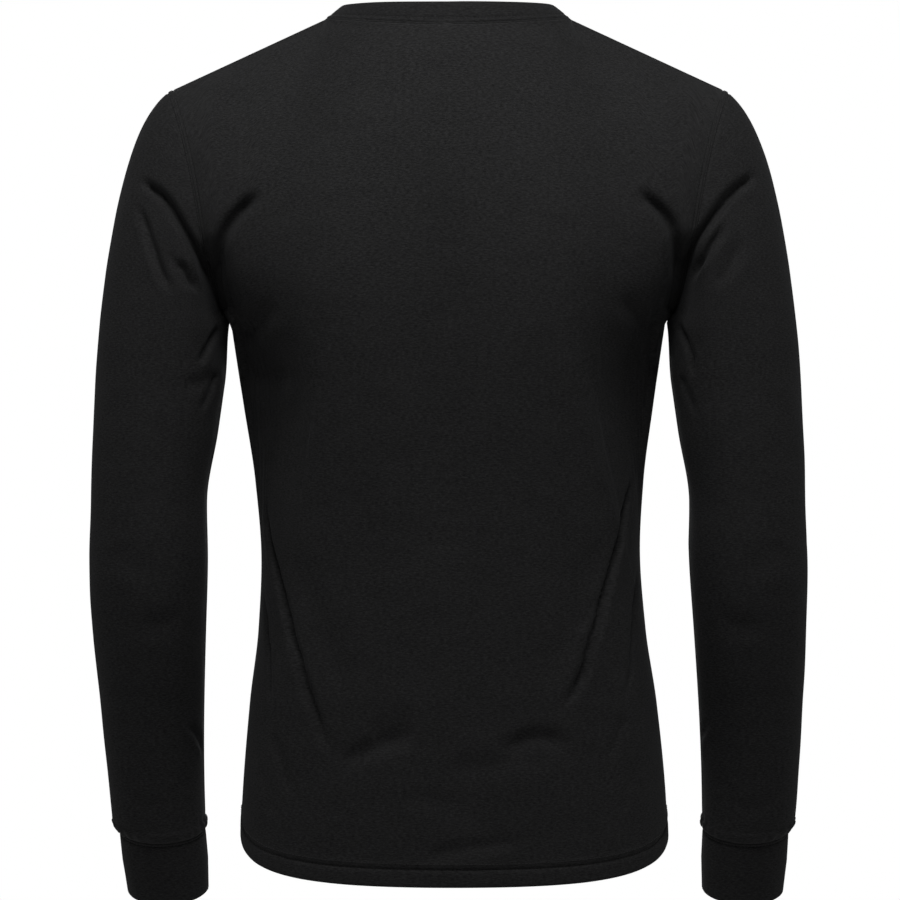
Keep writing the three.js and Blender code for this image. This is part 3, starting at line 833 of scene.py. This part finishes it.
def capPoint(angle, t, side):
    height = sleeve["heights"][0]
    lift = 1 - np.abs(angle) / pi
    start = np.where((angle >= 0)[..., None], armhole(backPanel, lift), armhole(frontPanel, lift))
    high = ((1 + np.cos(angle)) / 2)[..., None]
    leave = np.where(high > 0.5, mix(sleeve["capSide"], sleeve["capTop"], 2 * high - 1),
                     mix(sleeve["capUnder"], sleeve["capSide"], 2 * high))
    leave[..., 1] = sleeve["capSide"][1] * np.sin(angle)
    end = arm(angle, height + 0 * angle, side)
    arrive = (end - arm(angle, height - 10 + 0 * angle, side)) * (-(start[..., 2] - height) / 10)[..., None]
    return bow(start, leave, end, arrive, t)


def makeSleeve(side):
    word = "Left" if side > 0 else "Right"
    shares = spread(140, 310)
    angles = (shares[None] * 2 - 1) * pi
    capLines = spread(78, 150, end=False)
    cap = capPoint(angles + 0 * capLines[:, None], capLines[:, None] + 0 * angles, side)
    heights = np.linspace(sleeve["heights"][0], sleeve["heights"][-1] + 6, 134)[1:]
    middle = arm(angles, heights[:, None], side)
    tuck = np.array([0.12, 0.3, 0.5, 0.68, 0.82, 0.92, 1.0])[:, None]
    edge = arm(angles, sleeve["heights"][-1] + 6, side)
    seam = cuffPoint(angles, 0.0, side)
    straight = mix(edge, seam, tuck[..., None])
    bulge = np.sin(tuck * pi * 0.8 + 0.25) * np.sqrt(np.clip(1 - tuck, 0, 1))
    axis = arm(angles, sleeve["heights"][-1], side).mean(1, keepdims=True)
    low = straight + unit(straight - axis) * (2.4 * bulge)[..., None]
    points = np.concatenate([cap, middle, low])
    points[..., 0] *= side
    points = drawIn(points)
    outward = -side
    normals = outNormals(points, outward)

    fromArmhole = lengths(points, 0)
    fromCuff = lengths(points[::-1], 0)[::-1]
    fromUnder = np.minimum(lengths(points, 1), lengths(points[:, ::-1], 1)[:, ::-1])
    calm = ease(fromArmhole / 14) * ease(fromCuff / 18) * ease(fromUnder / 12)
    behind = np.broadcast_to(angles > 0, points.shape[:2])
    elbow = [dict(f, line=[(side * x, z) for x, z in f["line"]], lip=side * f["lip"]) for f in innerElbow]
    press = pressFolds(points, normals, leftFolds if side > 0 else rightFolds, behind)
    press = press + pressFolds(points, normals, elbow, ~behind)
    cloth = clothCoordinates(points, len(cap) + 20)
    waves = Waves(20 + side)
    drift = 0.65 * waves.at(cloth[..., 0] / 0.045 + 9, cloth[..., 1] / 0.07 + 5)
    drift += 0.25 * waves.at(cloth[..., 0] / 0.018 + 3, cloth[..., 1] / 0.03 + 7)
    gathers = 0.55 * np.sin(shares[None] * 2 * pi * 23 + 3 * waves.at(shares[None] * 9, 0 * shares[None]))
    gathers = gathers * np.exp(-((fromCuff - 6) / 7) ** 2) * ease(fromCuff / 3)
    points = points - normals * ((press + drift) * calm + gathers)[..., None]
    normals = outNormals(points, outward)
    dip = seamRelief(fromArmhole, flatlock) + seamRelief(fromCuff, bandSeam)
    dip = dip + seamRelief(fromUnder, plainSeam) * ease(fromArmhole / 6) * ease(fromCuff / 6)
    points = points - normals * dip[..., None]
    normals = outNormals(points, outward)
    thick = np.full(points.shape[:2], top["jersey"])
    piece = makeShell("sleeve" + word, points, normals, thick, outward, 0 * thick, cloth, jersey)
    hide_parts("sleeve_" + word.lower())
    return {"piece": piece, "points": points, "normals": normals, "fromArmhole": fromArmhole,
            "fromCuff": fromCuff}


def makeCuff(side):
    word = "Left" if side > 0 else "Right"
    shares = spread(100, 220)
    angles = (shares[None] * 2 - 1) * pi
    length = cuff["length"]
    folded = np.array([5, 3.2, 2, 1.2, 0.7, 0.3, 0]) / length
    downs = np.concatenate([spread(30, length, end=False), 1 - folded])
    downs = np.array(sorted(v for v in set(downs) if v in 1 - folded or v < 1 - 6 / length))
    points = cuffPoint(angles, downs[:, None], side)
    points[..., 0] *= side
    outward = -side
    normals = outNormals(points, outward)
    fromSeam = lengths(points, 0)
    fromEnd = lengths(points[::-1], 0)[::-1]
    fromUnder = np.minimum(lengths(points, 1), lengths(points[:, ::-1], 1)[:, ::-1])
    cloth = clothCoordinates(points)
    waves = Waves(30 + side)
    drift = 0.5 * waves.at(cloth[..., 0] / 0.03 + 9, cloth[..., 1] / 0.05 + 5)
    drift += 0.22 * waves.at(cloth[..., 0] / 0.012 + 2, cloth[..., 1] / 0.03 + 1)
    calm = ease(fromSeam / 10) * ease(fromUnder / 8)
    dip = seamRelief(fromSeam, flatlock) + seamRelief(fromUnder, plainSeam) + drift * calm
    points = points - normals * dip[..., None]
    normals = outNormals(points, outward)
    thick = np.full(points.shape[:2], top["doubled"])
    edge = foldedEdge(fromEnd, top["doubled"])
    piece = makeShell("cuff" + word, points, normals, thick, outward, edge, cloth, band)
    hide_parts("cuff_" + word.lower())
    return {"piece": piece, "points": points, "normals": normals, "fromSeam": fromSeam}


sleeves = {side: makeSleeve(side) for side in (1, -1)}
cuffs = {side: makeCuff(side) for side in (1, -1)}
print("sleeves and cuffs made")


# ---- neckband

neckband = {"rise": 18.5, "lean": 7.5, "sideRise": 11, "sideLean": 14, "height": 19, "sewing": 5.2}


def makeNeckband():
    shares = spread(180, 470)
    quarter = (shares * 4 + 1) % 4          # joined at the right shoulder
    turn = np.abs((quarter + 1) % 2 - 1) * 0.5
    isBack = (quarter <= 1) | (quarter >= 3)
    neckline = np.where(isBack[:, None], topEdge(backPanel, turn), topEdge(frontPanel, turn))
    # the first row is tucked in below the seam
    low = np.array([-0.9, 0, 0.7, 1.4, 2.2, 3.0, 3.8, 4.6, 5.2, 5.8, 6.8, 8.5, 10.5, 12.5, 14.5])
    folded = np.array([2.6, 1.7, 1.0, 0.5, 0.2, 0]) / neckband["height"]
    ups = np.concatenate([low / neckband["height"], 1 - folded])[:, None]
    sideways = np.sin(turn * pi)
    points = neckline[None] + vec(
        -neckband["sideLean"] * sideways * ups,
        -np.where(isBack, 1, -1) * neckband["lean"] * (1 - sideways) * ups,
        mix(neckband["rise"], neckband["sideRise"], sideways ** 2) * ups,
    )
    points[..., 0] *= np.where(quarter > 2, -1, 1)[None]
    normals = outNormals(points, -1)
    fromSeam = lengths(points, 0)
    fromEnd = lengths(points[::-1], 0)[::-1]
    fromJoin = np.minimum(lengths(points, 1), lengths(points[:, ::-1], 1)[:, ::-1])
    cloth = clothCoordinates(points)
    waves = Waves(41)
    puckers = 0.16 * np.sin(cloth[..., 0] / 0.0035 + 2.4 * waves.at(cloth[..., 0] / 0.011, 0 * cloth[..., 0]))
    drift = 0.4 * waves.at(cloth[..., 0] / 0.035 + 9, cloth[..., 1] / 0.03 + 5) * ease(fromSeam / 6)
    dip = seamRelief(fromSeam, bandSeam) + 0.3 * np.exp(-((fromSeam - neckband["sewing"]) / 0.7) ** 2)
    dip = dip - 0.3 * ease((fromSeam - 5.4) / 3) * ease(fromEnd / 3)
    dip = dip + puckers * np.exp(-((fromSeam - 3) / 4) ** 2) * ease(fromSeam / 2) + drift
    dip = dip + 0.6 * np.exp(-(fromJoin / 0.8) ** 2)
    points = points - normals * dip[..., None]
    normals = outNormals(points, -1)
    thick = np.full(points.shape[:2], top["doubled"])
    edge = foldedEdge(fromEnd, top["doubled"])
    piece = makeShell("neckBand", points, normals, thick, -1, edge, cloth, band)
    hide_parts("neckband")
    return {"piece": piece, "points": points, "normals": normals, "fromSeam": fromSeam}


collar = makeNeckband()
print("neckband made")

# ---- sewing

coverStitch = {"pitch": 2.9, "length": 2.5, "thick": 0.22}
rung = {"pitch": 4.6, "length": 4.4, "thick": 0.17}


def sewHem(name, made):
    runs = []
    for height in hemSewing["rows"]:
        runs.append(lineOn(made["points"], made["normals"], made["fromHem"], height))
    return makeStitches(name, runs, coverStitch)


backHem = sewHem("backHemStitching", back)
frontHem = sewHem("frontHemStitching", front)


def armholeRuns(made, offset):
    # the two armhole lines of a panel, from the underarm to the shoulder
    rows = slice(made["yokeRow"], None)
    p, n, d = made["points"][rows], made["normals"][rows], made["fromSide"][rows]
    half = p.shape[1] // 2
    right = lineOn(p[:, :half], n[:, :half], d[:, :half], offset, 1)
    left = lineOn(p[:, half:], n[:, half:], d[:, half:], offset, 1, fromStart=False)
    return {-1: right, 1: left}


def ladder(one, other, pitch):
    # short threads across a seam, from a line on one side of it to a line on the other
    (p, n), (q, m) = one, other
    travel = lambda line: np.concatenate([[0], np.cumsum(np.linalg.norm(np.diff(line, axis=0), axis=1))])
    count = int(travel(p)[-1] / pitch)
    runs = []
    for k in range(count):
        share = (k + 0.5) / count
        ends = []
        for line, out in ((p, n), (q, m)):
            t = travel(line)
            place = [np.interp(share * t[-1], t, line[:, i]) for i in range(3)]
            face = [np.interp(share * t[-1], t, out[:, i]) for i in range(3)]
            ends.append((np.array(place), np.array(face)))
        runs.append((np.array([ends[0][0], ends[1][0]]), np.array([ends[0][1], ends[1][1]])))
    return runs


def sewArmhole(side):
    word = "Left" if side > 0 else "Right"
    worn = sleeves[side]
    ring, out = lineOn(worn["points"], worn["normals"], worn["fromArmhole"], flatlock["wide"])
    runs, rungs = [(ring, out)], []
    half = len(ring) // 2
    for made, part in ((back, slice(half, None)), (front, slice(half, None, -1))):
        line = armholeRuns(made, flatlock["wide"])[side]
        line = (line[0][::-1], line[1][::-1])          # from the shoulder down
        runs.append(line)
        rungs += ladder(line, (ring[part], out[part]), 1.9)
    piece = makeStitches("armholeStitching" + word, runs, coverStitch)
    return piece, makeStitches("armholeLadder" + word, rungs, rung)


armholes = {side: sewArmhole(side) for side in (1, -1)}


def sewCuff(side):
    word = "Left" if side > 0 else "Right"
    wrist, hand = sleeves[side], cuffs[side]
    runs = [lineOn(hand["points"], hand["normals"], hand["fromSeam"], flatlock["wide"]),
            lineOn(wrist["points"], wrist["normals"], wrist["fromCuff"], flatlock["wide"], fromStart=False)]
    return makeStitches("cuffStitching" + word, runs, coverStitch)


cuffSewing = {side: sewCuff(side) for side in (1, -1)}


def sewShoulders():
    runs = []
    for made in (back, front):
        for side in (1, -1):
            pick = np.where(made["turns"] * side > 0.53)[0]
            p, n, d = (made[key][:, pick] for key in ("points", "normals", "fromTop"))
            runs.append(lineOn(p, n, d, flatlock["wide"], fromStart=False))
    return makeStitches("shoulderStitching", runs, coverStitch)


shoulders = sewShoulders()
neckRow = lineOn(collar["points"], collar["normals"], collar["fromSeam"], neckband["sewing"])
neckSewing = makeStitches("neckStitching", [neckRow], coverStitch)
print("stitches made")

# ---- floor, light and camera

scene = bpy.context.scene
scene.view_settings.view_transform = "Standard"

studio = {"distance": 2.6, "height": -0.354, "lens": 127.1, "shift": (0.0021, -0.0004),
          "floor": -1.45, "floorSize": 4.6}


def makeFloor():
    mesh = bpy.data.meshes.new("floor")
    ring = [(studio["floorSize"] * math.cos(a), studio["floorSize"] * math.sin(a), studio["floor"])
            for a in np.linspace(0, 2 * pi, 96, endpoint=False)]
    mesh.from_pydata(ring, [], [list(range(96))])
    floor = bpy.data.objects.new("floor", mesh)
    scene.collection.objects.link(floor)
    s = Shader("paleFloor")
    grain = s.node("ShaderNodeTexNoise", None, {"Scale": 3.0, "Detail": 3.0})
    pale = s.node("ShaderNodeMix", {"data_type": "RGBA"},
                  {"Factor": grain, 6: (0.80, 0.80, 0.80, 1), 7: (0.86, 0.86, 0.86, 1)}, 2)
    s.set({"Base Color": pale, "Roughness": 0.9})
    mesh.materials.append(s.material)


def makeLight(name, place, aim, size, power):
    lamp = bpy.data.lights.new(name, "AREA")
    lamp.shape = "RECTANGLE"
    lamp.size, lamp.size_y = size
    lamp.energy = power
    made = bpy.data.objects.new(name, lamp)
    scene.collection.objects.link(made)
    made.location = place
    x, y, z = np.array(place) - np.array(aim)      # it shines back along this
    made.rotation_euler = (math.atan2(math.hypot(x, y), z), 0, math.atan2(x, -y))


makeFloor()
middle = (0, 0, studio["height"])
makeLight("keyLight", (0.0, 0.78, 0.82), middle, (0.7, 0.5), 11.6)
makeLight("leftFill", (2.3, 0.15, 1.0), middle, (0.9, 1.4), 5.2)
makeLight("rightFill", (-2.3, 0.15, 1.0), middle, (0.9, 1.4), 5.2)
makeLight("frontLight", (0.0, -2.2, 0.35), middle, (1.2, 0.9), 24)

world = bpy.data.worlds.new("studio")
scene.world = world
world.use_nodes = True
tree = world.node_tree
tree.nodes.clear()
output = tree.nodes.new("ShaderNodeOutputWorld")
seen, lit = (tree.nodes.new("ShaderNodeBackground") for _ in range(2))
for sky, strength in ((seen, 1.0), (lit, 0.13)):
    sky.inputs["Color"].default_value = (1, 1, 1, 1)
    sky.inputs["Strength"].default_value = strength
path = tree.nodes.new("ShaderNodeLightPath")
choose = tree.nodes.new("ShaderNodeMixShader")
tree.links.new(path.outputs["Is Camera Ray"], choose.inputs[0])
tree.links.new(lit.outputs[0], choose.inputs[1])
tree.links.new(seen.outputs[0], choose.inputs[2])
tree.links.new(choose.outputs[0], output.inputs["Surface"])

cameraData = bpy.data.cameras.new("camera")
cameraData.lens = studio["lens"]
cameraData.sensor_width = 36
cameraData.shift_x, cameraData.shift_y = studio["shift"]
camera = bpy.data.objects.new("camera", cameraData)
scene.collection.objects.link(camera)
camera.location = (0, studio["distance"], studio["height"])
camera.rotation_euler = (pi / 2, 0, pi)
scene.camera = camera

print("studio ready")
